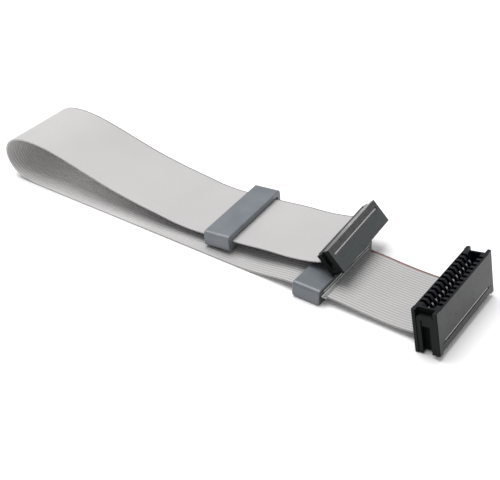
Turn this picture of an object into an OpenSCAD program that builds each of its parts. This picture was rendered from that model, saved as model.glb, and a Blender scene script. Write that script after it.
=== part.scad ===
// Ribbon cable, folded back on itself in one open loop.
// A card-edge socket ends the lower run, and a smaller pin socket ends the upper run.
// One flat ferrite core is threaded on each run, and a thin band stops the lower one.
// The origin is on the floor, under the middle of the lower core. Millimetres, +Z up.

/* [Ribbon] */
// Number of conductors, half of them on each row of contacts
conductors = 26; // [10:2:34]
// Pitch between neighbouring conductors
wire_pitch = 1.27; // [1.05:0.01:1.55]
// Thickness of the insulation
ribbon_t = 0.75; // [0.6:0.05:0.9]

/* [Card-edge socket] */
// Thickness of the socket, front face to rear face
edge_t = 9.1; // [8.6:0.1:11.5]
// Height of the body above the ribbon
edge_body_h = 12.2; // [10:0.1:15]
// Height of the cover below the ribbon
edge_cover_h = 3.5; // [2.8:0.1:3.5]
// Length of the socket past the middle of the last contact
edge_end = 5.85; // [5.4:0.05:7.2]
// Outer wall beside the contact cells
edge_wall = 0.6; // [0.5:0.05:0.8]
// Thickness of the circuit board that plugs in
board_t = 1.6; // [1.3:0.05:1.95]

/* [Pin socket] */
// Thickness of the socket, front face to rear face
pin_t = 5.6; // [5.4:0.1:6.8]
// Height of the body above the ribbon
pin_body_h = 6.3; // [5.2:0.1:6.8]
// Height of the cover below the ribbon
pin_cover_h = 2.5; // [2:0.1:3]
// Length of the socket past the middle of the last contact
pin_end = 3.45; // [3.3:0.05:4.2]
// Outer wall past the ends of the cover's latches
pin_wall = 0.8; // [0.6:0.05:0.95]
// Side of the square hole that each pin enters
pin_hole = 0.9; // [0.75:0.05:1.1]

/* [Ferrite cores] */
// Size of a core along the ribbon
core_run = 11; // [9.1:0.1:13.2]
// Thickness of a core
core_t = 6.4; // [5.3:0.1:6.6]
// Wall of a core past the slot's end
core_wall = 2.2; // [1.8:0.1:2.8]
// Radius of a core's four corners, seen along the ribbon
core_corner = 1.5; // [1.2:0.1:2]
// Radius along the outer edges of a core
core_round = 0.5; // [0.2:0.1:1]
// Height of a core's slot above the ribbon that lies in it
slot_room = 0.8; // [0.5:0.1:1.2]

/* [Fits] */
// Clearance between a cover and the body it is latched to
latch_gap = 0.1; // [0.05:0.01:0.15]
// Clearance under the ribbon in a core's slot
slot_gap = 0.1; // [0.05:0.01:0.2]
// Clearance round a contact in its cavity
contact_gap = 0.1; // [0.05:0.01:0.12]

/* [Hidden] */
$fn = 40;
// Overrun of a cut past the face that it opens
over = 0.05;

// ---- Shared sizes ----

ribbon_w = conductors * wire_pitch;
half_t = ribbon_t / 2;
ribbon_bevel = 0.2;
row_pitch = 2 * wire_pitch;
row_count = conductors / 2;
row_half = (row_count - 1) * row_pitch / 2;
// Step of a contact's tail to the conductor that it taps
tail_step = wire_pitch / 2;
// Depth of the ribbon's cut end behind a socket's front face
cut_recess = 0.2;
// Room past each edge of the ribbon in a socket and in a core
socket_side_gap = 0.25;
core_side_gap = 0.7;

// ---- Centre line of the ribbon ----

// From the rear face of the card-edge socket to the rear face of the pin socket
route = [
    [42.7, -0.08, 3.9], [39.5, 0, 3.21], [35, 0, 2.6], [29, 0, 2.4], [21, 0, 2.6], [14, 0, 3],
    [8, 0, 3.2], [-8, 0, 3.2], [-13, 0, 2.7], [-19, 0, 1.7], [-26, 0, 0.8], [-34, 0, 0.45],
    [-80, 0, 0.45], [-129, 0, 0.45], [-135, 0, 0.8], [-139.5, 0, 1.6], [-143, 0, 3.1],
    [-146, 0, 6], [-147.4, 0, 10], [-146.6, 0.1, 14], [-143.8, 0.3, 17], [-139.5, 0.6, 18.6],
    [-134, 0.9, 19.1], [-127, 1.3, 18.6], [-118, 1.8, 16.7], [-106, 2.5, 13.3], [-94, 3.2, 10],
    [-82, 3.9, 7.5], [-71, 4.5, 5.8], [-62.6, 5, 4.5], [-51.6, 5.6, 4.3], [-35, 6.5, 5.6],
    [-24, 7.2, 6.6], [-14, 7.7, 7.2], [-8, 8, 8.1], [-4.5, 8.2, 8.9], [-1.6, 8.4, 10],
    [-0.15, 8.47, 11.45]
];
last = len(route) - 1;
// Stretches that stay straight: into the sockets, through the cores, and flat on the floor
straight = [0, 6, 11, 12, 30, last - 1];
core_lower_at = 6;
core_upper_at = 30;
rings_each = 2;
// The upper run comes back at this angle to the lower one, and the loop shares it out
return_turn = 3.2;
loop_from = 12;
loop_to = 30;

function unit(v) = v / norm(v);
function chord(i) = route[i + 1] - route[i];
function is_straight(i) = len(search(i, straight)) > 0;
// Direction of the ribbon at route point i
function heading(i) =
    i == 0 || is_straight(i) ? unit(chord(i)) :
    i == last || is_straight(i - 1) ? unit(chord(i - 1)) :
    unit(unit(chord(i - 1)) * norm(chord(i)) + unit(chord(i)) * norm(chord(i - 1)));
// Point at a share u of the stretch that starts at route point i
function place(i, u) =
    route[i] * (1 - 3 * u * u + 2 * u * u * u)
    + route[i + 1] * (3 * u * u - 2 * u * u * u)
    + heading(i) * norm(chord(i)) * (u - 2 * u * u + u * u * u)
    + heading(i + 1) * norm(chord(i)) * (u * u * u - u * u);
// Direction of the ribbon there
function slope(i, u) = unit(
    chord(i) * 6 * (u - u * u)
    + heading(i) * norm(chord(i)) * (1 - 4 * u + 3 * u * u)
    + heading(i + 1) * norm(chord(i)) * (3 * u * u - 2 * u));
// Line that the ribbon bends round at stretch i, and the direction across the ribbon
function bend_turn(i) = i < loop_from ? 0 : i < loop_to ? return_turn / 2 : return_turn;
function bend_line(i) = [-sin(bend_turn(i)), cos(bend_turn(i)), 0];
function across(run, i) = unit(bend_line(i) - (bend_line(i) * run) * run);

// Puts children on the ribbon: X along run, Y across and Z square to the ribbon
module on_ribbon(at, run, i) {
    y = across(run, i);
    z = cross(run, y);
    multmatrix([
        [run.x, y.x, z.x, at.x],
        [run.y, y.y, z.y, at.y],
        [run.z, y.z, z.z, at.z]
    ]) children();
}

// The ribbon runs on straight to its cut ends, just behind the sockets' front faces
cut_lower = route[0] - unit(chord(0)) * (edge_t - cut_recess);
cut_upper = route[last] + unit(chord(last - 1)) * (pin_t - cut_recess);

// Middle of a straight stretch
module on_stretch(i) {
    on_ribbon((route[i] + route[i + 1]) / 2, unit(chord(i)), i) children();
}

// Socket frames: X to the front face, Y along the socket, Z to the mating face, ribbon at Z = 0
module at_edge_socket() {
    on_ribbon(route[0], -unit(chord(0)), 0) translate([edge_t / 2, 0, 0]) children();
}
module at_pin_socket() {
    on_ribbon(route[last], unit(chord(last - 1)), last - 1)
        rotate([180, 0, 0]) translate([pin_t / 2, 0, 0]) children();
}

// ---- Helpers ----

// A flat shape drawn in X and Z, extruded along Y
module along_y(from, to) {
    translate([0, to, 0]) rotate([90, 0, 0]) linear_extrude(height = to - from) children();
}
// A flat shape drawn in Y and Z, extruded along X
module along_x(from, to) {
    translate([from, 0, 0]) rotate([90, 0, 90]) linear_extrude(height = to - from) children();
}
module box(x, y, z) {
    translate([x[0], y[0], z[0]]) cube([x[1] - x[0], y[1] - y[0], z[1] - z[0]]);
}
module both_ends() {
    children();
    mirror([0, 1, 0]) children();
}
module both_faces() {
    children();
    mirror([1, 0, 0]) children();
}
// Children at each contact of a row
module each_contact() {
    for (i = [0 : row_count - 1]) translate([0, i * row_pitch - row_half, 0]) children();
}
// Outline of a bent strip of thickness t along points
function strip_side(p, t, side) = [
    for (i = [0 : len(p) - 1])
        let (
            a = unit(p[min(i + 1, len(p) - 1)] - p[min(i, len(p) - 2)]),
            b = unit(p[max(i, 1)] - p[max(i - 1, 0)]),
            mid = unit(a + b),
            reach = t / 2 / (mid * a)
        )
        p[i] + side * reach * [-mid.y, mid.x]
];
function reversed(p) = [for (i = [len(p) - 1 : -1 : 0]) p[i]];
function strip(p, t) = concat(strip_side(p, t, 1), reversed(strip_side(p, t, -1)));

// ---- Ribbon ----

function ribbon_outline(w, h, c) = [
    [w, c - h], [w, h - c], [w - c, h], [c - w, h],
    [-w, h - c], [-w, c - h], [c - w, -h], [w - c, -h]
];
// Section of the ribbon at a place where it heads along run
function section(at, run, i) =
    let (
        y = across(run, i),
        z = cross(run, y)
    )
    [for (p = ribbon_outline(ribbon_w / 2, half_t, ribbon_bevel)) at + p.x * y + p.y * z];

module ribbon() {
    sides = 8;
    first = unit(chord(0));
    final = unit(chord(last - 1));
    points = [
        each section(cut_lower, first, 0),
        for (i = [0 : last - 1], k = [0 : rings_each - 1])
            each section(place(i, k / rings_each), slope(i, k / rings_each), i),
        each section(route[last], final, last - 1),
        each section(cut_upper, final, last - 1)
    ];
    rings = last * rings_each + 2;
    walls = [
        for (r = [0 : rings - 1], j = [0 : sides - 1])
            let (a = r * sides + j, b = r * sides + (j + 1) % sides)
            each [[a, a + sides, b + sides], [a, b + sides, b]]
    ];
    start_cap = [for (j = [0 : sides - 1]) j];
    end_cap = [for (j = [sides - 1 : -1 : 0]) rings * sides + j];
    color("gainsboro") polyhedron(points, concat(walls, [start_cap, end_cap]), convexity = 6);
}

// ---- Ferrite cores ----

core_half = ribbon_w / 2 + core_side_gap + core_wall;
core_slot_half = ribbon_w / 2 + core_side_gap;
core_slot_h = ribbon_t + slot_gap + slot_room;
core_slot_mid = (slot_room - slot_gap) / 2;

// Lengthwise section of a core, reach to each side, with its outer edges rounded
module core_section(reach) {
    inner = core_run / 2 - core_round;
    for (side = [-1, 1], end = [-1, 1])
        translate([side * (reach - core_round), end * inner]) circle(r = core_round);
    square([2 * reach, 2 * inner], center = true);
    square([2 * (reach - core_round), core_run], center = true);
}
// Core with the ribbon through it at Z = 0, and the slot's free room above
module core() {
    bend_y = core_half - core_corner;
    bend_z = core_t / 2 - core_corner;
    difference() {
        union() {
            for (y = [-bend_y, bend_y], z = [-bend_z, bend_z])
                translate([0, y, z]) rotate([0, 90, 0]) rotate_extrude() intersection() {
                    core_section(core_corner);
                    translate([0, -core_run]) square([2 * core_corner, 2 * core_run]);
                }
            translate([0, bend_y, 0]) rotate([90, 0, 0]) linear_extrude(height = 2 * bend_y)
                rotate(90) core_section(core_t / 2);
            translate([0, 0, -bend_z]) linear_extrude(height = 2 * bend_z)
                rotate(90) core_section(core_half);
        }
        translate([0, 0, core_slot_mid]) along_x(-core_run, core_run) {
            square([2 * core_slot_half - core_slot_h, core_slot_h], center = true);
            for (side = [-1, 1])
                translate([side * (core_slot_half - core_slot_h / 2), 0]) circle(d = core_slot_h);
        }
    }
}
// The lower run's frame has its Z axis down
module core_lower() {
    color("slategray") on_stretch(core_lower_at) mirror([0, 0, 1]) core();
}
module core_upper() {
    color("lightslategray") on_stretch(core_upper_at) core();
}

// Band round the ribbon beside the lower core, with a hooked tail at the near edge
band_t = 0.3;
band_run = 1.2;
band_gap = 0.15;
band_tail = 1.5;
band_tail_w = 0.45;
band_hook = 2;

module core_band() {
    from = core_run / 2 + band_gap;
    w = ribbon_w / 2;
    // Height of the tail, level with the band's upper layer
    tail_h = [-half_t - band_t, -half_t];
    // The stretch runs towards -X, so the band lies at negative X of its frame
    color("silver") on_stretch(core_lower_at) mirror([1, 0, 0]) {
        along_x(from, from + band_run) difference() {
            polygon(ribbon_outline(w + band_t, half_t + band_t, ribbon_bevel));
            polygon(ribbon_outline(w, half_t, ribbon_bevel));
        }
        box([from, from + band_tail_w], [-w - band_tail, -w], tail_h);
        box([from, from + band_hook], [-w - band_tail, band_tail_w - w - band_tail], tail_h);
    }
}

// ---- Parts that both sockets share ----

// Cover bar, with a latch loop at each end that is open at the foot
cover_brow = 0.25;
module latch_cover(t, h, bevel, bar_half, reach, loop, loop_round, loop_top, window_half, window_top) {
    foot = -half_t - h;
    // Its bevelled upper front edge leaves a groove under the ribbon's cut end
    along_y(-bar_half, bar_half) polygon([
        [t / 2 - cover_brow, -half_t], [t / 2, -half_t - cover_brow],
        [t / 2, foot + bevel], [t / 2 - bevel, foot],
        [bevel - t / 2, foot], [-t / 2, foot + bevel], [-t / 2, -half_t]
    ]);
    both_ends() {
        both_faces() box([window_half, reach], [bar_half - over, loop[1]], [foot, -half_t]);
        along_y(loop[0], loop[1]) difference() {
            union() {
                translate([-reach, foot]) square([2 * reach, loop_top - loop_round - foot]);
                translate([loop_round - reach, foot])
                    square([2 * (reach - loop_round), loop_top - foot]);
                for (side = [-1, 1])
                    translate([side * (reach - loop_round), loop_top - loop_round])
                        circle(r = loop_round);
            }
            translate([-window_half, foot - over])
                square([2 * window_half, window_top - foot + over]);
        }
    }
}

// End of a socket body: two guard walls with their outer corners broken, and the latch wedge
module latch_end(t, from, end_half, foot, top, guard, broken, wedge_half, wedge_out, wedge) {
    both_faces() translate([0, 0, foot]) linear_extrude(height = top - foot) polygon([
        [t / 2 - guard, from - over], [t / 2, from - over], [t / 2, end_half - broken],
        [t / 2 - broken, end_half], [t / 2 - guard, end_half]
    ]);
    along_x(-wedge_half, wedge_half) polygon([
        [from - over, wedge[0]], [wedge_out, wedge[1]], [wedge_out, wedge[2]],
        [from - over, wedge[2]]
    ]);
}

// Fork at the foot of a contact, with its tip on the ribbon and a slit for the conductor
fork_half = 0.55;
fork_h = 1.1;
fork_slit = 0.3;
fork_reach = tail_step + fork_half;
module contact_tail(x, thick, side, from_y, to_y, top) {
    box([x - thick / 2, x + thick / 2], [from_y, to_y], [half_t + fork_h, top]);
    translate([0, side * tail_step, 0]) for (tine = [-1, 1])
        box([x - thick / 2, x + thick / 2],
            [min(tine * fork_slit / 2, tine * fork_half), max(tine * fork_slit / 2, tine * fork_half)],
            [half_t, half_t + fork_h + over]);
}

// ---- Card-edge socket ----

edge_comb_end = 2.2;
edge_comb_half = row_half + row_pitch / 2 + edge_comb_end;
edge_half = row_half + edge_end;
edge_top = half_t + edge_body_h;
edge_foot = -half_t - edge_cover_h;
edge_rim_bevel = 0.2;
edge_cover_bevel = 0.7;
edge_floor = 2.6;
slot_gap_board = 0.1;
slot_half = board_t / 2 + slot_gap_board;
slot_floor = 4;
// Wall of the comb past the card slot's end
slot_end_wall = 0.7;
lead_in_w = 1.4;
lead_in_h = 2;
separator = 1.2;
cell_half = (row_pitch - separator) / 2;
// Walls that guard the latch loops, and the break of their outer corners
edge_guard = 1.4;
edge_broken = 0.4;
// Latch loop, counted inwards from the socket's end, and its window
edge_loop_set = 0.3;
edge_loop_t = 1.3;
edge_loop_drop = 1.9;
edge_loop_bar = 1.7;
edge_loop_round = 1.2;
edge_window_half = 1.6;
edge_wedge_hold = 0.9;
edge_wedge_h = 3.8;
edge_wedge_lip = 2.4;
edge_loop = [edge_half - edge_loop_set - edge_loop_t, edge_half - edge_loop_set];
edge_loop_reach = edge_t / 2 - edge_guard - latch_gap;
edge_loop_top = edge_top - edge_loop_drop;
edge_window_top = edge_loop_top - edge_loop_bar;

// Contact spring, drawn in X and Z from its foot to its flared tip
spring_t = 0.3;
spring_w = 0.7;
spring_press = 0.3;
spring_back_gap = 0.8;
spring_foot_x = edge_t / 2 - edge_wall - spring_back_gap - spring_t / 2;
spring_foot = half_t + 1.2;
spring_bow_x = board_t / 2 - spring_press + spring_t / 2;
// Side step of each of its bends, and the flare of its tip
spring_step = 0.25;
spring_flare = 0.65;
// Depths of its bends and its tip below the mating face
spring_at = [7.5, 6.5, 4.4, 3.7, 3.2, 2.6, 2];
spring = [
    [spring_foot_x, spring_foot],
    [spring_foot_x, edge_top - spring_at[0]],
    [spring_foot_x - spring_step, edge_top - spring_at[1]],
    [spring_bow_x + spring_step, edge_top - spring_at[2]],
    [spring_bow_x, edge_top - spring_at[3]],
    [spring_bow_x, edge_top - spring_at[4]],
    [spring_bow_x + spring_step, edge_top - spring_at[5]],
    [spring_bow_x + spring_flare, edge_top - spring_at[6]]
];

module edge_cavity(side) {
    fork_to = side * (fork_reach + contact_gap);
    spring_to = -side * (spring_w / 2 + contact_gap);
    // Cell that the spring works in, open to the card slot
    box([slot_half - over, edge_t / 2 - edge_wall], [-cell_half, cell_half],
        [edge_floor, edge_top + over]);
    // Slit in the floor that the foot passes through
    box([spring_foot_x - spring_t / 2 - contact_gap, spring_foot_x + spring_t / 2 + contact_gap],
        [min(fork_to, spring_to), max(fork_to, spring_to)], [half_t - over, edge_floor + over]);
}

module edge_body() {
    slot_len_half = edge_comb_half - slot_end_wall;
    pad_from = ribbon_w / 2 + socket_side_gap;
    color("dimgray") at_edge_socket() difference() {
        union() {
            along_y(-edge_comb_half, edge_comb_half) polygon([
                [-edge_t / 2, half_t], [edge_t / 2, half_t],
                [edge_t / 2, edge_top - edge_rim_bevel], [edge_t / 2 - edge_rim_bevel, edge_top],
                [edge_rim_bevel - edge_t / 2, edge_top], [-edge_t / 2, edge_top - edge_rim_bevel]
            ]);
            both_ends() {
                // Pad that closes the ribbon's channel beside its edge
                box([-edge_t / 2, edge_t / 2], [pad_from, edge_comb_half],
                    [latch_gap - half_t, half_t + over]);
                latch_end(edge_t, edge_comb_half, edge_half, edge_foot, edge_top, edge_guard,
                    edge_broken, edge_window_half - latch_gap, edge_loop[0] + edge_wedge_hold,
                    [edge_window_top - latch_gap - edge_wedge_h,
                    edge_window_top - latch_gap - edge_wedge_lip, edge_window_top - latch_gap]);
            }
        }
        // Card slot with its lead-in
        along_y(-slot_len_half, slot_len_half) polygon([
            [-slot_half, slot_floor], [slot_half, slot_floor],
            [slot_half, edge_top - lead_in_h], [slot_half + lead_in_w, edge_top],
            [slot_half + lead_in_w, edge_top + over], [-slot_half - lead_in_w, edge_top + over],
            [-slot_half - lead_in_w, edge_top], [-slot_half, edge_top - lead_in_h]
        ]);
        each_contact() {
            edge_cavity(1);
            mirror([1, 0, 0]) edge_cavity(-1);
        }
    }
}

module edge_cover() {
    color("darkslategray") at_edge_socket()
        latch_cover(edge_t, edge_cover_h, edge_cover_bevel, edge_comb_half - latch_gap,
            edge_loop_reach, edge_loop, edge_loop_round, edge_loop_top, edge_window_half,
            edge_window_top);
}

module edge_contacts(side) {
    fork_to = side * fork_reach;
    spring_to = -side * spring_w / 2;
    each_contact() {
        along_y(-spring_w / 2, spring_w / 2) polygon(strip(spring, spring_t));
        contact_tail(spring_foot_x, spring_t, side, min(fork_to, spring_to), max(fork_to, spring_to),
            spring_foot + spring_t);
    }
}
module edge_contacts_front() {
    color("goldenrod") at_edge_socket() edge_contacts(1);
}
module edge_contacts_rear() {
    color("gold") at_edge_socket() mirror([1, 0, 0]) edge_contacts(-1);
}

// ---- Pin socket ----

pin_comb_end = 0.75;
pin_comb_half = row_half + row_pitch / 2 + pin_comb_end;
pin_half = row_half + pin_end;
pin_top = half_t + pin_body_h;
pin_foot = -half_t - pin_cover_h;
pin_cover_bevel = 0.15;
// Rib along the rear edge of the cover
pin_rib_w = 0.9;
pin_rib_h = 0.25;
pin_row_x = wire_pitch;
// Chamber that a contact sits in, and the wall between it and the mating face
chamber_half = 0.85;
chamber_floor = half_t + 1.3;
mating_wall = 1.2;
funnel = 0.35;
pin_broken = 0.2;
pin_loop_set = 0.15;
pin_loop_t = 0.8;
pin_loop_drop = 1.3;
pin_loop_bar = 1.1;
pin_loop_round = 0.7;
pin_window_half = 1.1;
pin_wedge_hold = 0.5;
pin_wedge_h = 2.2;
pin_wedge_lip = 0.4;
pin_loop = [pin_half - pin_loop_set - pin_loop_t, pin_half - pin_loop_set];
pin_loop_reach = pin_t / 2 - pin_wall - latch_gap;
pin_loop_top = pin_top - pin_loop_drop;
pin_window_top = pin_loop_top - pin_loop_bar;

module pin_cavity(side) {
    fork_to = side * (fork_reach + contact_gap);
    leaf_to = -side * chamber_half;
    mouth = pin_hole / 2 + funnel;
    box([pin_row_x - pin_hole / 2, pin_row_x + pin_hole / 2], [-pin_hole / 2, pin_hole / 2],
        [pin_top - mating_wall - over, pin_top + over]);
    // Square funnel, made where two tapered grooves cross
    intersection() {
        along_y(-mouth, mouth) translate([pin_row_x, 0]) polygon([
            [-pin_hole / 2, pin_top - funnel], [pin_hole / 2, pin_top - funnel],
            [mouth, pin_top], [mouth, pin_top + over], [-mouth, pin_top + over], [-mouth, pin_top]
        ]);
        along_x(pin_row_x - mouth, pin_row_x + mouth) polygon([
            [-pin_hole / 2, pin_top - funnel], [pin_hole / 2, pin_top - funnel],
            [mouth, pin_top], [mouth, pin_top + over], [-mouth, pin_top + over], [-mouth, pin_top]
        ]);
    }
    box([pin_row_x - leaf_w / 2 - contact_gap, pin_row_x + leaf_w / 2 + contact_gap],
        [-chamber_half, chamber_half], [chamber_floor, pin_top - mating_wall]);
    box([pin_row_x - leaf_t / 2 - contact_gap, pin_row_x + leaf_t / 2 + contact_gap],
        [min(fork_to, leaf_to), max(fork_to, leaf_to)], [half_t - over, chamber_floor + over]);
}

module pin_body() {
    pad_from = ribbon_w / 2 + socket_side_gap;
    color("dimgray") at_pin_socket() difference() {
        union() {
            box([-pin_t / 2, pin_t / 2], [-pin_comb_half, pin_comb_half], [half_t, pin_top]);
            both_ends() {
                box([-pin_t / 2, pin_t / 2], [pad_from, pin_comb_half],
                    [latch_gap - half_t, half_t + over]);
                latch_end(pin_t, pin_comb_half, pin_half, pin_foot, pin_top, pin_wall, pin_broken,
                    pin_window_half - latch_gap, pin_loop[0] + pin_wedge_hold,
                    [pin_window_top - latch_gap - pin_wedge_h,
                    pin_window_top - latch_gap - pin_wedge_lip, pin_window_top - latch_gap]);
            }
        }
        each_contact() {
            pin_cavity(1);
            mirror([1, 0, 0]) pin_cavity(-1);
        }
    }
}

module pin_cover() {
    bar_half = pin_comb_half - latch_gap;
    rib_from = pin_cover_bevel - pin_t / 2;
    color("darkslategray") at_pin_socket() {
        latch_cover(pin_t, pin_cover_h, pin_cover_bevel, bar_half, pin_loop_reach, pin_loop,
            pin_loop_round, pin_loop_top, pin_window_half, pin_window_top);
        box([rib_from, rib_from + pin_rib_w], [-bar_half, bar_half],
            [pin_foot - pin_rib_h, pin_foot + over]);
    }
}

// Contact with two leaves that close on the pin, drawn in Y and Z
leaf_t = 0.2;
leaf_w = 0.9;
leaf_touch = 0.2;
leaf_out = chamber_half - contact_gap;
// Straight part at a leaf's foot, and the height and side step of its flare
leaf_straight = 0.7;
leaf_flare_h = 0.8;
leaf_flare = 0.15;
leaf_top = pin_top - mating_wall - contact_gap;
leaf = [
    [leaf_out - leaf_t / 2, chamber_floor],
    [leaf_out - leaf_t / 2, chamber_floor + leaf_straight],
    [leaf_touch + leaf_t / 2, leaf_top - leaf_flare_h],
    [leaf_touch + leaf_t / 2 + leaf_flare, leaf_top]
];

module pin_contacts(side) {
    fork_to = side * fork_reach;
    leaf_to = -side * leaf_out;
    each_contact() {
        both_ends() along_x(pin_row_x - leaf_w / 2, pin_row_x + leaf_w / 2)
            polygon(strip(leaf, leaf_t));
        box([pin_row_x - leaf_w / 2, pin_row_x + leaf_w / 2], [-leaf_out, leaf_out],
            [chamber_floor, chamber_floor + leaf_t]);
        contact_tail(pin_row_x, leaf_t, side, min(fork_to, leaf_to), max(fork_to, leaf_to),
            chamber_floor);
    }
}
module pin_contacts_front() {
    color("goldenrod") at_pin_socket() pin_contacts(1);
}
module pin_contacts_rear() {
    color("gold") at_pin_socket() mirror([1, 0, 0]) pin_contacts(-1);
}

// ---- Whole part ----

ribbon();
core_lower();
core_upper();
core_band();
edge_body();
edge_cover();
edge_contacts_front();
edge_contacts_rear();
pin_body();
pin_cover();
pin_contacts_front();
pin_contacts_rear();
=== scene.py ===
"""Looks of the ribbon cable: a ribbed flat cable folded back in a loop, with two sockets and
two ferrite cores."""
import math

import bpy
import numpy as np
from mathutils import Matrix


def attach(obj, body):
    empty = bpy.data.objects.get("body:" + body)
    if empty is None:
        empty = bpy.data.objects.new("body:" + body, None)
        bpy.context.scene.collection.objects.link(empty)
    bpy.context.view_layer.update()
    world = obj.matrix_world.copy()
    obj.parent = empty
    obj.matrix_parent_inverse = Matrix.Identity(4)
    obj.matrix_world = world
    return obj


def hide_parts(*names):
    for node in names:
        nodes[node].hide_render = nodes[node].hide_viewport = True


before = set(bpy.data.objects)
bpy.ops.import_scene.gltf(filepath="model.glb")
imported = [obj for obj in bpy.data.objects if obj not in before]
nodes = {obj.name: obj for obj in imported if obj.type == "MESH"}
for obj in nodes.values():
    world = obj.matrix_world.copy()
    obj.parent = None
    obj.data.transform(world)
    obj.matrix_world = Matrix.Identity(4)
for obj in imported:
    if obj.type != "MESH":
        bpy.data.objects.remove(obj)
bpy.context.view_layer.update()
MM = 0.001


# ---- Sizes, in metres as everywhere below ----

CONDUCTORS = 26
WIRE_PITCH = 1.27 * MM
RIBBON_W = CONDUCTORS * WIRE_PITCH
RIBBON_T = 0.75 * MM
# Depth of the grooves between conductors on the ribbed face and on the laminated one
RIB_DEPTH = 0.16 * MM
BACK_DEPTH = 0.03 * MM
# A conductor's radius, the sides of its cut end, and how far that sinks in and stands proud
STRAND_R = 0.19 * MM
STRAND_SIDES = 10
STRAND_ENDS = (-0.3 * MM, 0.02 * MM)
# The sockets' thickness, and how far behind their front faces the ribbon is cut
EDGE_T = 9.1 * MM
PIN_T = 5.6 * MM
CUT_RECESS = 0.2 * MM

# The lower core's +X face, and the film's lip in front of it: its two faces, foot and top, how
# much its top wavers, the height of its lighter rim, and what it stays short of the ribbon's edge
CORE_FACE = 5.5 * MM
LIP_X = (5.53 * MM, 5.63 * MM)
LIP_FOOT = 3.6 * MM
LIP_TOP = 5.0 * MM
LIP_WAVE = 0.06 * MM
LIP_RIM = 0.45 * MM
LIP_SHORT = 0.3 * MM
LIP_STEPS = 60

# The ribbon's centre line from one socket's rear face to the other's, as in part.scad, in mm
ROUTE_MM = [
    (42.7, -0.08, 3.9), (39.5, 0, 3.21), (35, 0, 2.6), (29, 0, 2.4), (21, 0, 2.6), (14, 0, 3),
    (8, 0, 3.2), (-8, 0, 3.2), (-13, 0, 2.7), (-19, 0, 1.7), (-26, 0, 0.8), (-34, 0, 0.45),
    (-80, 0, 0.45), (-129, 0, 0.45), (-135, 0, 0.8), (-139.5, 0, 1.6), (-143, 0, 3.1),
    (-146, 0, 6), (-147.4, 0, 10), (-146.6, 0.1, 14), (-143.8, 0.3, 17), (-139.5, 0.6, 18.6),
    (-134, 0.9, 19.1), (-127, 1.3, 18.6), (-118, 1.8, 16.7), (-106, 2.5, 13.3), (-94, 3.2, 10),
    (-82, 3.9, 7.5), (-71, 4.5, 5.8), (-62.6, 5, 4.5), (-51.6, 5.6, 4.3), (-35, 6.5, 5.6),
    (-24, 7.2, 6.6), (-14, 7.7, 7.2), (-8, 8, 8.1), (-4.5, 8.2, 8.9), (-1.6, 8.4, 10),
    (-0.15, 8.47, 11.45),
]
ROUTE = np.array(ROUTE_MM, dtype=float) * MM
LAST = len(ROUTE) - 1
STRAIGHT = {0, 6, 11, 12, 30, LAST - 1}
RETURN_TURN = math.radians(3.2)
LOOP_FROM, LOOP_TO = 12, 30


# ---- The ribbon's line and frames ----

def unit(v):
    return v / np.linalg.norm(v)


def chord(i):
    return ROUTE[i + 1] - ROUTE[i]


def heading(i):
    """Direction of the ribbon at route point i."""
    if i == 0 or i in STRAIGHT:
        return unit(chord(i))
    if i == LAST or i - 1 in STRAIGHT:
        return unit(chord(i - 1))
    before, after = chord(i - 1), chord(i)
    return unit(unit(before) * np.linalg.norm(after) + unit(after) * np.linalg.norm(before))


def place(i, u):
    """Point and direction at a share u of the stretch after route point i."""
    size = np.linalg.norm(chord(i))
    a, b = heading(i) * size, heading(i + 1) * size
    point = (ROUTE[i] * (1 - 3 * u * u + 2 * u ** 3) + ROUTE[i + 1] * (3 * u * u - 2 * u ** 3)
             + a * (u - 2 * u * u + u ** 3) + b * (u ** 3 - u * u))
    run = unit(chord(i) * 6 * (u - u * u) + a * (1 - 4 * u + 3 * u * u) + b * (3 * u * u - 2 * u))
    return point, run


def frame_at(i, u):
    """Point, direction across and normal of the ribbon."""
    turn = 0 if i < LOOP_FROM else RETURN_TURN / 2 if i < LOOP_TO else RETURN_TURN
    bend_line = np.array([-math.sin(turn), math.cos(turn), 0])
    point, run = place(i, u)
    y = unit(bend_line - (bend_line @ run) * run)
    return point, run, y, np.cross(run, y)


def cut_frame(i, u, way, depth):
    """The frame at one of the ribbon's cut ends, a socket's depth past the route's end."""
    point, run, y, z = frame_at(i, u)
    return point + way * depth * run, run, y, z


def cut_ends():
    return (cut_frame(0, 0.0, -1, EDGE_T - CUT_RECESS),
            cut_frame(LAST - 1, 1.0, 1, PIN_T - CUT_RECESS))


def line_stops(step, step_straight):
    """Stations along the route, closer together where it bends."""
    stops = []
    for i in range(LAST):
        count = math.ceil(np.linalg.norm(chord(i)) / (step_straight if i in STRAIGHT else step))
        stops += [(i, k / count) for k in range(count)]
    return stops + [(LAST - 1, 1.0)]


# ---- Mesh helpers ----

def new_piece(name, verts, faces, material, smooth=True):
    mesh = bpy.data.meshes.new(name)
    mesh.from_pydata([tuple(v) for v in verts], [], [tuple(f) for f in faces])
    mesh.validate()
    mesh.materials.append(material)
    if smooth:
        mesh.polygons.foreach_set("use_smooth", [True] * len(mesh.polygons))
    mesh.update()
    piece = bpy.data.objects.new(name, mesh)
    bpy.context.scene.collection.objects.link(piece)
    return piece


def sweep(name, outline, stations, material):
    """Closed tube: outline (Y, Z) carried along the ribbon's frames, with flat caps."""
    rings = [point + np.outer(outline[:, 0], y) + np.outer(outline[:, 1], z)
             for point, run, y, z in stations]
    n = len(outline)
    faces = [(r * n + j, (r + 1) * n + j, (r + 1) * n + (j + 1) % n, r * n + (j + 1) % n)
             for r in range(len(rings) - 1) for j in range(n)]
    faces += [tuple(range(n)), tuple((len(rings) - 1) * n + j for j in reversed(range(n)))]
    return new_piece(name, np.concatenate(rings), faces, material)


# ---- Ribbon ----

# Share of a conductor's pitch, from its middle, at the points that draw one rib
RIB_POINTS = (-0.5, -0.42, -0.34, -0.18, 0, 0.18, 0.34, 0.42)
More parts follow.
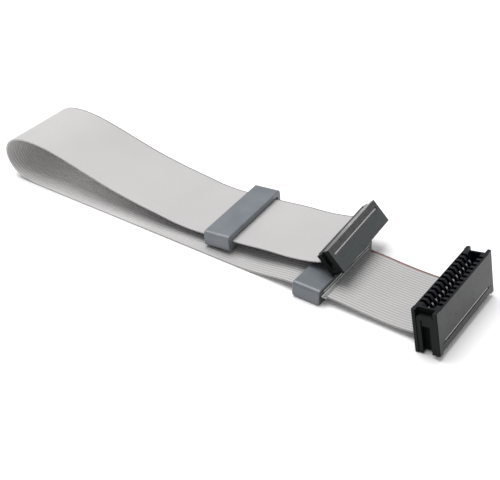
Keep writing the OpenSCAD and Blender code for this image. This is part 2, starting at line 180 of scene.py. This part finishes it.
# Faces this near the bottom of a groove, as a share of the pitch, have the groove's tone, which carries
# painted shade
GROOVE_SHARE = 0.1
# Width of the printed mark along the ribbed face's +Y edge, and of the laminate's seam opposite
MARK_W = 1.0 * MM
SEAM_W = 0.5 * MM
# How sharply a rib falls away from its crest, as the power of a curve
RIB_POWER = 2.6
# Stations along the run: their spacing in bends, and in straight stretches
BEND_STEP = 1.6 * MM
STRAIGHT_STEP = 4 * MM


def face_points(depth, points):
    """Y and height of one face, from the -Y edge to the +Y edge."""
    out = []
    for c in range(CONDUCTORS):
        middle = (c + 0.5) * WIRE_PITCH - RIBBON_W / 2
        for v in points:
            out.append((middle + v * WIRE_PITCH, RIBBON_T / 2 - depth * abs(2 * v) ** RIB_POWER))
    return out


def ribbon_outline():
    """Outline seen against the run: +Y edge, ribbed or laminated top, -Y edge, bottom.
    The ribbed face is the lower run's upper one, which the frames call -Z."""
    edge = RIBBON_W / 2
    back = face_points(BACK_DEPTH, (-0.5, 0))[1:]
    ribs = face_points(RIB_DEPTH, RIB_POINTS)[1:]
    side = RIBBON_T / 2
    top = [(edge, side * 0.45), (edge - 0.1 * MM, side * 0.85)] + back[::-1]
    low = [(-edge + 0.1 * MM, side * 0.85), (-edge, side * 0.45), (-edge, -side * 0.3),
           (-edge + 0.12 * MM, -side * 0.62)]
    return np.array(top + low + [(y, -z) for y, z in ribs]
                    + [(edge - 0.12 * MM, -side * 0.62), (edge, -side * 0.3)])


def make_ribbon(tones):
    stops = line_stops(BEND_STEP, STRAIGHT_STEP)
    start, end = cut_ends()
    stations = [start] + [frame_at(i, u) for i, u in stops] + [end]
    outline = ribbon_outline()
    ribbon = sweep("ribbon_insulation", outline, stations, tones[0])
    paint_outline(ribbon, outline, len(stations), tones[1:])
    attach(ribbon, "root")
    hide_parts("ribbon")
    path = [tuple(s[0]) for s in stations]
    length = sum(math.dist(a, b) for a, b in zip(path, path[1:]))
    print(f"ribbon length {length:.4f} m")
    return ribbon


def face_tone(a, b):
    """Tone of the strip between two outline points: 0 plain, 1 rib, 2 groove, 3 mark, 4 seam. The rib
    and groove tones carry painted light and shade.
    """
    y, z = (a[0] + b[0]) / 2, (a[1] + b[1]) / 2
    from_groove = abs((y / WIRE_PITCH + 0.5) % 1 - 0.5)
    if z > 0:
        return 4 if y > RIBBON_W / 2 - SEAM_W else 0
    if y > RIBBON_W / 2 - MARK_W:
        return 3
    return 2 if from_groove < GROOVE_SHARE else 1


def paint_outline(ribbon, outline, rings, tones):
    """Gives each lengthwise strip of the ribbon its tone."""
    for tone in tones:
        ribbon.data.materials.append(tone)
    n = len(outline)
    strips = [face_tone(outline[j], outline[(j + 1) % n]) for j in range(n)]
    ribbon.data.polygons.foreach_set("material_index", strips * (rings - 1) + [0, 0])


def make_wire_ends(material):
    """Cut ends of the conductors, a hair proud of the ribbon's two end faces."""
    verts, faces = [], []
    sides = STRAND_SIDES
    for (point, run, y, z), way in zip(cut_ends(), (-1, 1)):
        for c in range(CONDUCTORS):
            middle = point + y * ((c + 0.5) * WIRE_PITCH - RIBBON_W / 2)
            start = len(verts)
            for proud in STRAND_ENDS:
                for k in range(sides):
                    a = 2 * math.pi * k / sides
                    verts.append(middle + run * way * proud
                                 + STRAND_R * (math.cos(a) * y + math.sin(a) * z))
            faces += [(start + k, start + (k + 1) % sides, start + sides + (k + 1) % sides,
                       start + sides + k) for k in range(sides)]
            faces.append(tuple(start + sides + k for k in range(sides)))
            faces.append(tuple(start + k for k in reversed(range(sides))))
    ends = new_piece("conductor_ends", verts, faces, material, smooth=False)
    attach(ends, "root")


def make_film_lip(material):
    """Turned-up edge of the film, in the gap between the lower core and the band."""
    half = RIBBON_W / 2 - LIP_SHORT
    verts, faces = [], []
    count = LIP_STEPS
    for k in range(count + 1):
        y = half * (2 * k / count - 1)
        top = LIP_TOP + LIP_WAVE * math.sin(k * 0.9) * math.sin(k * 0.37 + 1)
        verts += [(LIP_X[0], y, LIP_FOOT), (LIP_X[1], y, LIP_FOOT), (LIP_X[1], y, top - LIP_WAVE),
                  (sum(LIP_X) / 2, y, top), (LIP_X[0], y, top - LIP_WAVE)]
    for k in range(count):
        a, b = 5 * k, 5 * k + 5
        faces += [(a + j, a + (j + 1) % 5, b + (j + 1) % 5, b + j) for j in range(5)]
    faces += [(4, 3, 2, 1, 0), tuple(5 * count + j for j in range(5))]
    lip = new_piece("film_lip", verts, faces, material, smooth=False)
    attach(lip, "root")


# ---- Materials ----

# The ribbon's darker and lighter tint: laminated face, ribbed face, red mark and grey seam
BACK_TINTS = ((0.369, 0.362, 0.361), (0.393, 0.386, 0.384))
RIB_TINTS = ((0.575, 0.565, 0.563), (0.608, 0.597, 0.594))
MARK_TINTS = ((0.13, 0.042, 0.039), (0.17, 0.058, 0.052))
SEAM_TINTS = ((0.06, 0.054, 0.054), (0.09, 0.082, 0.082))
# Painted shade on the lower core: the dark tone of its +X side and how deep that reaches into the
# core, and how much darker the whole lower core is painted than the upper one
SIDE_PAINTED_SHADE = (0.028, 0.031, 0.036)
SIDE_PAINTED_SHADE_DEPTH = 0.08 * MM
LOWER_PAINTED_SHADE = 0.88
# How far along X the band's lighter edge reaches
BAND_EDGE_TO = 6.05 * MM
# Painted light and shade: shares of the plain tone along X, tuned until the ribbon is as light as
# in the photo: the grooves get painted shade, darkest by the lower core, nearly vanishing in the
# loop, and the loop's inside gets painted light, brighter than the lower run
GROOVE_PAINTED_SHADE_SHARES = ((-145 * MM, 0.74), (-120 * MM, 0.96), (-95 * MM, 0.87), (-70 * MM, 0.64),
                 (-40 * MM, 0.55), (4 * MM, 0.12), (12 * MM, 0.14), (36 * MM, 0.24))
RIB_PAINTED_LIGHT_SHARES = ((-145 * MM, 0.78), (-120 * MM, 1.0), (-95 * MM, 0.9), (-70 * MM, 0.68),
              (-8 * MM, 0.645))
# Painted shade on the edge socket's contacts below their tips, as a tone, and how high above the ribbon
# those begin
CONTACT_PAINTED_SHADE = (0.2, 0.195, 0.185)
TIPS_FROM = 10.05 * MM
# Painted shade on the sockets' ends: their dark tone, low shine and roughness, how squarely a face
# has to look along Y to count as one, and where the ends begin along Y
END_PAINTED_SHADE = (0.006, 0.0072, 0.0072)
END_SHINE = 0.11
END_ROUGHNESS = 0.45
END_FACING = 0.6
EDGE_END_FROM = (-18.4 * MM, 18.4 * MM)
PIN_END_FROM = (-8.4 * MM, 25.3 * MM)
# Painted shade in the card-edge socket's latch windows: the share of the shine cut there, and where
# they end along Y
WINDOW_PAINTED_SHADE_LOSS = 0.8
EDGE_WINDOW_TO = 20.5 * MM
# Reach of each socket below and above the ribbon's middle, and the outer skin left out
EDGE_REACH = (12.58 * MM, 3.88 * MM)
PIN_REACH = (6.68 * MM, 2.88 * MM)
SKIN = 0.5 * MM


def shader(name):
    """A new material's node tree and its Principled shader."""
    mat = bpy.data.materials.new(name)
    mat.use_nodes = True
    tree = mat.node_tree
    return mat, tree, tree.nodes["Principled BSDF"]


def add(tree, kind, inputs=None, **facts):
    node = tree.nodes.new(kind)
    for key, value in facts.items():
        setattr(node, key, value)
    for key, value in (inputs or {}).items():
        if isinstance(value, bpy.types.NodeSocket):
            tree.links.new(value, node.inputs[key])
        else:
            node.inputs[key].default_value = value
    return node


def place_coords(tree):
    return add(tree, "ShaderNodeTexCoord").outputs["Object"]


def noise(tree, coords, scale, detail=3.0, rough=0.5):
    return add(tree, "ShaderNodeTexNoise", {"Vector": coords, "Scale": scale, "Detail": detail,
                                            "Roughness": rough}).outputs["Fac"]


def ramp(tree, fac, stops):
    """Colour or grey ramp; stops are (place, colour)."""
    node = add(tree, "ShaderNodeValToRGB", {"Fac": fac})
    line = node.color_ramp
    while len(line.elements) < len(stops):
        line.elements.new(0.5)
    for element, (at, colour) in zip(line.elements, stops):
        element.position = at
        element.color = (*colour, 1) if len(colour) == 3 else colour
    return node.outputs["Color"]


def mix(tree, fac, a, b, blend="MIX"):
    node = add(tree, "ShaderNodeMix", data_type="RGBA", blend_type=blend)
    for key, value in ((0, fac), (6, a), (7, b)):
        if isinstance(value, bpy.types.NodeSocket):
            tree.links.new(value, node.inputs[key])
        else:
            node.inputs[key].default_value = value if key == 0 else (*value, 1)
    return node.outputs[2]


def bump(tree, principled, height, strength, distance):
    node = add(tree, "ShaderNodeBump", {"Height": height, "Strength": strength,
                                        "Distance": distance})
    tree.links.new(node.outputs["Normal"], principled.inputs["Normal"])


def grey(v):
    return (v, v, v)


def share_along(tree, coords, stops):
    """Grey value along X; stops are (x, value), from the loop towards the card-edge socket."""
    first, last = stops[0][0], stops[-1][0]
    along = add(tree, "ShaderNodeSeparateXYZ", {0: coords}).outputs["X"]
    place = add(tree, "ShaderNodeMapRange", {"Value": along, "From Min": first, "From Max": last})
    return ramp(tree, place.outputs["Result"],
                [((x - first) / (last - first), grey(value)) for x, value in stops])


def insulation_material(name, tint_a, tint_b, along=None):
    """Soft grey PVC: slow tone changes along the cable, a fine extruded grain, faint dust.
    The tone is multiplied by the shares in along, which paint light and shade along X."""
    mat, tree, principled = shader(name)
    coords = place_coords(tree)
    slow = noise(tree, coords, 28, 2)
    colour = ramp(tree, slow, [(0.32, tint_a), (0.68, tint_b)])
    if along:
        colour = mix(tree, 1.0, colour, share_along(tree, coords, along), "MULTIPLY")
    fine = noise(tree, coords, 2600, 2)
    colour = mix(tree, 0.06, colour, ramp(tree, fine, [(0.3, grey(0.35)), (0.7, grey(0.85))]))
    tree.links.new(colour, principled.inputs["Base Color"])
    gloss = ramp(tree, noise(tree, coords, 140, 3),
                 [(0.3, grey(0.44)), (0.7, grey(0.58))])
    tree.links.new(gloss, principled.inputs["Roughness"])
    principled.inputs["Specular IOR Level"].default_value = 0.3
    bump(tree, principled, fine, 0.12, 0.02 * MM)
    return mat


def calc(tree, operation, a, b, c=0.0):
    return add(tree, "ShaderNodeMath", {0: a, 1: b, 2: c}, operation=operation).outputs[0]


def between(tree, coords, way, low, high):
    """1 where the place measured along way lies between low and high."""
    at = add(tree, "ShaderNodeVectorMath", {0: coords, 1: way}, operation="DOT_PRODUCT")
    return calc(tree, "COMPARE", at.outputs["Value"], (low + high) / 2, (high - low) / 2)


def end_shade_mask(tree, coords, low, high, depth, height):
    """1 in a socket's two ends, which take a painted shade: beyond low and high along Y, where a face
    looks along Y or lies inside the socket's depth and height, each a direction with its two limits."""
    across = add(tree, "ShaderNodeSeparateXYZ", {0: coords}).outputs["Y"]
    beyond = calc(tree, "MAXIMUM", calc(tree, "LESS_THAN", across, low),
                  calc(tree, "GREATER_THAN", across, high))
    normal = add(tree, "ShaderNodeNewGeometry").outputs["Normal"]
    facing = calc(tree, "ABSOLUTE", add(tree, "ShaderNodeSeparateXYZ", {0: normal}).outputs["Y"], 0)
    inside = calc(tree, "MULTIPLY", between(tree, coords, *depth), between(tree, coords, *height))
    return calc(tree, "MULTIPLY", beyond,
                calc(tree, "MAXIMUM", calc(tree, "GREATER_THAN", facing, END_FACING), inside))


def socket_ends(low, high, cut, way, thickness, below, above):
    """What end_shade_mask needs for the socket at one cut end of the ribbon."""
    point, run, y, z = cut
    front = way * float(point @ run) + CUT_RECESS
    middle = float(point @ z)
    return (low, high, (tuple(way * run), front - thickness + SKIN, front - SKIN),
            (tuple(z), middle - below + SKIN, middle + above - SKIN))


def moulded_plastic(name, dark, light, roughness, ends, grain, shine, recess=0.0):
    """Glass-filled moulding: mottled tone, fine spark-eroded grain, slightly uneven gloss.
    The two ends, with their latch windows, are painted duller and darker than the faces, a painted
    shade, and hardly shine at all in the windows, nearer the middle than recess along Y, a painted
    shade in those recesses."""
    mat, tree, principled = shader(name)
    coords = place_coords(tree)
    in_shaded_end = end_shade_mask(tree, coords, *ends)
    colour = ramp(tree, noise(tree, coords, 420, 4, 0.6), [(0.3, dark), (0.72, light)])
    # Painted shade: the ends take a dark tone
    colour = mix(tree, in_shaded_end, colour, END_PAINTED_SHADE)
    tree.links.new(colour, principled.inputs["Base Color"])
    gloss = ramp(tree, noise(tree, coords, 260, 3),
                 [(0.3, grey(roughness - 0.07)), (0.7, grey(roughness + 0.09))])
    # Painted shade on the ends: duller there and with less shine
    tree.links.new(mix(tree, in_shaded_end, gloss, grey(END_ROUGHNESS)), principled.inputs["Roughness"])
    level = calc(tree, "SUBTRACT", shine, calc(tree, "MULTIPLY", in_shaded_end, shine - END_SHINE))
    # Painted shade in the latch windows: most of their shine is cut
    in_window = calc(tree, "MULTIPLY", in_shaded_end, between(tree, coords, (0, 1, 0), -recess, recess))
    level = calc(tree, "MULTIPLY", level, calc(tree, "SUBTRACT", 1, calc(
        tree, "MULTIPLY", in_window, WINDOW_PAINTED_SHADE_LOSS)))
    tree.links.new(level, principled.inputs["Specular IOR Level"])
    bump(tree, principled, noise(tree, coords, 3800, 3, 0.6), grain, 0.012 * MM)
    return mat


def ferrite_material(name, shade, painted_shade_from=None):
    """Ground and coated ferrite: blue-grey, with soft clouds, fine pores and a satin coat.
    The tone is multiplied by shade, a painted shade, and beyond the last argument along X the side
    takes a dark tone, a painted shade too."""
    mat, tree, principled = shader(name)
    coords = place_coords(tree)
    clouds = ramp(tree, noise(tree, coords, 110, 4, 0.55),
                  [(0.28, (0.096, 0.109, 0.125)), (0.72, (0.127, 0.142, 0.156))])
    pores = add(tree, "ShaderNodeTexVoronoi", {"Vector": coords, "Scale": 1500})
    specks = ramp(tree, pores.outputs["Distance"], [(0.04, grey(0.62)), (0.16, grey(1.0))])
    # Painted shade: the whole core darkened by the share in shade
    clouds = mix(tree, 1.0, clouds, grey(shade), "MULTIPLY")
    # Painted shade: the side beyond the given place along X takes a dark tone
    if painted_shade_from:
        along = add(tree, "ShaderNodeSeparateXYZ", {0: coords}).outputs["X"]
        clouds = mix(tree, calc(tree, "GREATER_THAN", along, painted_shade_from), clouds, SIDE_PAINTED_SHADE)
    tree.links.new(mix(tree, 0.5, clouds, specks, "MULTIPLY"), principled.inputs["Base Color"])
    gloss = ramp(tree, noise(tree, coords, 320, 3), [(0.3, grey(0.34)), (0.7, grey(0.44))])
    tree.links.new(gloss, principled.inputs["Roughness"])
    principled.inputs["IOR"].default_value = 1.6
    bump(tree, principled, noise(tree, coords, 900, 4, 0.6), 0.12, 0.03 * MM)
    return mat


def contact_material(name, bright_part=None):
    """Tin over phosphor bronze: pale metal with warmer, duller patches.
    With a direction and two limits as the last argument, it is bright between those and dark elsewhere,
    a painted shade deep in the socket."""
    mat, tree, principled = shader(name)
    coords = place_coords(tree)
    colour = ramp(tree, noise(tree, coords, 900, 3),
                  [(0.35, (0.74, 0.73, 0.71)), (0.7, (0.88, 0.88, 0.87))])
    # Painted shade: below their tips, deep in the socket, the contacts take a dark tone
    if bright_part:
        colour = mix(tree, between(tree, coords, *bright_part), CONTACT_PAINTED_SHADE, colour)
    tree.links.new(colour, principled.inputs["Base Color"])
    principled.inputs["Metallic"].default_value = 0.75
    gloss = ramp(tree, noise(tree, coords, 1700, 2), [(0.3, grey(0.2)), (0.7, grey(0.36))])
    tree.links.new(gloss, principled.inputs["Roughness"])
    return mat


def band_material(name):
    """Thin milky film, pressed round the ribbon: lighter along its edge next to the core, darker
    beyond.
    """
    mat, tree, principled = shader(name)
    coords = place_coords(tree)
    colour = ramp(tree, noise(tree, coords, 500, 3),
                  [(0.3, (0.24, 0.26, 0.25)), (0.7, (0.32, 0.34, 0.33))])
    along = add(tree, "ShaderNodeSeparateXYZ", {0: coords}).outputs["X"]
    colour = mix(tree, calc(tree, "LESS_THAN", along, BAND_EDGE_TO), colour, (0.72, 0.74, 0.73))
    tree.links.new(colour, principled.inputs["Base Color"])
    gloss = ramp(tree, noise(tree, coords, 700, 2), [(0.3, grey(0.22)), (0.7, grey(0.34))])
    tree.links.new(gloss, principled.inputs["Roughness"])
    bump(tree, principled, noise(tree, coords, 1200, 2), 0.15, 0.02 * MM)
    return mat


def lip_material(name):
    """The turned-up film: light along its rim, dark below."""
    mat, tree, principled = shader(name)
    coords = place_coords(tree)
    height = add(tree, "ShaderNodeSeparateXYZ", {0: coords}).outputs["Z"]
    share = add(tree, "ShaderNodeMapRange", {"Value": height, "From Min": LIP_TOP - LIP_RIM,
                                             "From Max": LIP_TOP - LIP_RIM / 2})
    bright_part = ramp(tree, noise(tree, coords, 600, 2), [(0.3, grey(0.62)), (0.7, grey(0.8))])
    colour = mix(tree, share.outputs["Result"], (0.07, 0.075, 0.08), bright_part)
    tree.links.new(colour, principled.inputs["Base Color"])
    principled.inputs["Roughness"].default_value = 0.3
    return mat


def floor_material(name):
    mat, tree, principled = shader(name)
    coords = place_coords(tree)
    colour = ramp(tree, noise(tree, coords, 6, 2), [(0.3, grey(0.88)), (0.7, grey(0.9))])
    tree.links.new(colour, principled.inputs["Base Color"])
    principled.inputs["Roughness"].default_value = 0.75
    principled.inputs["Specular IOR Level"].default_value = 0.2
    return mat


def finish_node(name, mat):
    for slot in nodes[name].material_slots:
        slot.material = mat


def finish_cad_nodes(metal):
    edge_cut, pin_cut = cut_ends()
    edge_ends = socket_ends(*EDGE_END_FROM, edge_cut, -1, EDGE_T, *EDGE_REACH)
    pin_ends = socket_ends(*PIN_END_FROM, pin_cut, 1, PIN_T, *PIN_REACH)
    # The lower core's material is a shaded copy of the upper one's: painted shade overall and on its +X
    # side
    finish_node("core_lower", ferrite_material("ferrite_lower_painted_shade", LOWER_PAINTED_SHADE,
                                               CORE_FACE - SIDE_PAINTED_SHADE_DEPTH))
    finish_node("core_upper", ferrite_material("ferrite_upper", 1.0))
    finish_node("core_band", band_material("band_film"))
    make_film_lip(lip_material("band_lip"))
    edge = moulded_plastic("edge_socket_plastic", (0.0015, 0.002, 0.0045), (0.003, 0.0035, 0.0065),
                           roughness=0.2, ends=edge_ends, grain=0.15, shine=0.24,
                           recess=EDGE_WINDOW_TO)
    finish_node("edge_body", edge)
    finish_node("edge_cover", edge)
    pin = moulded_plastic("pin_socket_plastic", (0.042, 0.049, 0.051), (0.052, 0.059, 0.061),
                          roughness=0.3, ends=pin_ends, grain=0.2, shine=0.35)
    cover = moulded_plastic("pin_cover_plastic", (0.018, 0.018, 0.02), (0.055, 0.053, 0.055),
                            roughness=0.3, ends=pin_ends, grain=0.5, shine=0.7)
    finish_node("pin_body", pin)
    finish_node("pin_cover", cover)
    up = -edge_cut[3]
    ribbon_at = float(edge_cut[0] @ up)
    # The contacts below their tips get painted shade
    tips = contact_material("edge_contact_tin", (tuple(up), ribbon_at + TIPS_FROM,
                                                 ribbon_at + EDGE_REACH[0]))
    for name in ("edge_contacts_front", "edge_contacts_rear"):
        finish_node(name, tips)
    for name in ("pin_contacts_front", "pin_contacts_rear"):
        finish_node(name, metal)


# ---- Stage, light and camera ----

FLOOR_HALF = 1.5
SKY_STRENGTH = 0.62
# One soft light: its place, what it points at, its sides in metres and its power in watts
KEY_AT = (-0.33, 0.02, 0.95)
KEY_TARGET = (-0.04, 0, 0)
KEY_SIDES = (0.8, 0.8)
KEY_POWER = 12
# Camera: place, tilt up from straight down and turn about Z in degrees, lens and sensor in mm
CAMERA_AT = (0.1260, -0.2396, 0.2069)
CAMERA_TILT = 54.48
CAMERA_TURN = 34.09
CAMERA_LENS = 67.46
CAMERA_SENSOR = 36
CAMERA_CLIP = (0.01, 10)


def make_stage():
    size = FLOOR_HALF
    floor = new_piece("floor", [(-size, -size, 0), (size, -size, 0), (size, size, 0),
                                (-size, size, 0)], [(0, 1, 2, 3)],
                      floor_material("floor_paint"), smooth=False)


def area_light(name, at, target, size, power):
    lamp = bpy.data.lights.new(name, "AREA")
    lamp.shape = "RECTANGLE"
    lamp.size, lamp.size_y = size
    lamp.energy = power
    holder = bpy.data.objects.new(name, lamp)
    holder.location = at
    way = np.array(target) - np.array(at)
    yaw = math.atan2(way[0], -way[1])
    tilt = math.atan2(math.hypot(way[0], way[1]), -way[2])
    holder.rotation_euler = (tilt, 0, yaw + math.pi)
    bpy.context.scene.collection.objects.link(holder)


def make_lights():
    world = bpy.data.worlds.new("studio")
    world.use_nodes = True
    sky = world.node_tree.nodes["Background"]
    sky.inputs["Color"].default_value = (1, 1, 1, 1)
    sky.inputs["Strength"].default_value = SKY_STRENGTH
    bpy.context.scene.world = world
    area_light("key", KEY_AT, KEY_TARGET, KEY_SIDES, KEY_POWER)


def make_camera():
    """The photograph's view: 35.5 degrees down, from the card-edge socket's side."""
    data = bpy.data.cameras.new("view")
    data.lens = CAMERA_LENS
    data.sensor_width = CAMERA_SENSOR
    data.clip_start, data.clip_end = CAMERA_CLIP
    camera = bpy.data.objects.new("view", data)
    camera.location = CAMERA_AT
    camera.rotation_euler = (math.radians(CAMERA_TILT), 0, math.radians(CAMERA_TURN))
    bpy.context.scene.collection.objects.link(camera)
    bpy.context.scene.camera = camera


# ---- Build ----

bpy.context.scene.view_settings.view_transform = "Standard"
contact_metal = contact_material("contact_tin")
pvc = insulation_material("ribbon_pvc", *BACK_TINTS)
# Painted light and shade along X: brighter inside the loop, with darker grooves by the lower core
ribs = insulation_material("ribbon_ribs_painted_light", *RIB_TINTS, RIB_PAINTED_LIGHT_SHARES)
groove = insulation_material("ribbon_groove_painted_shade", *RIB_TINTS, GROOVE_PAINTED_SHADE_SHARES)
mark = insulation_material("ribbon_mark", *MARK_TINTS)
seam = insulation_material("ribbon_seam", *SEAM_TINTS)
make_ribbon((pvc, ribs, groove, mark, seam))
make_wire_ends(contact_metal)
finish_cad_nodes(contact_metal)
make_stage()
make_lights()
make_camera()
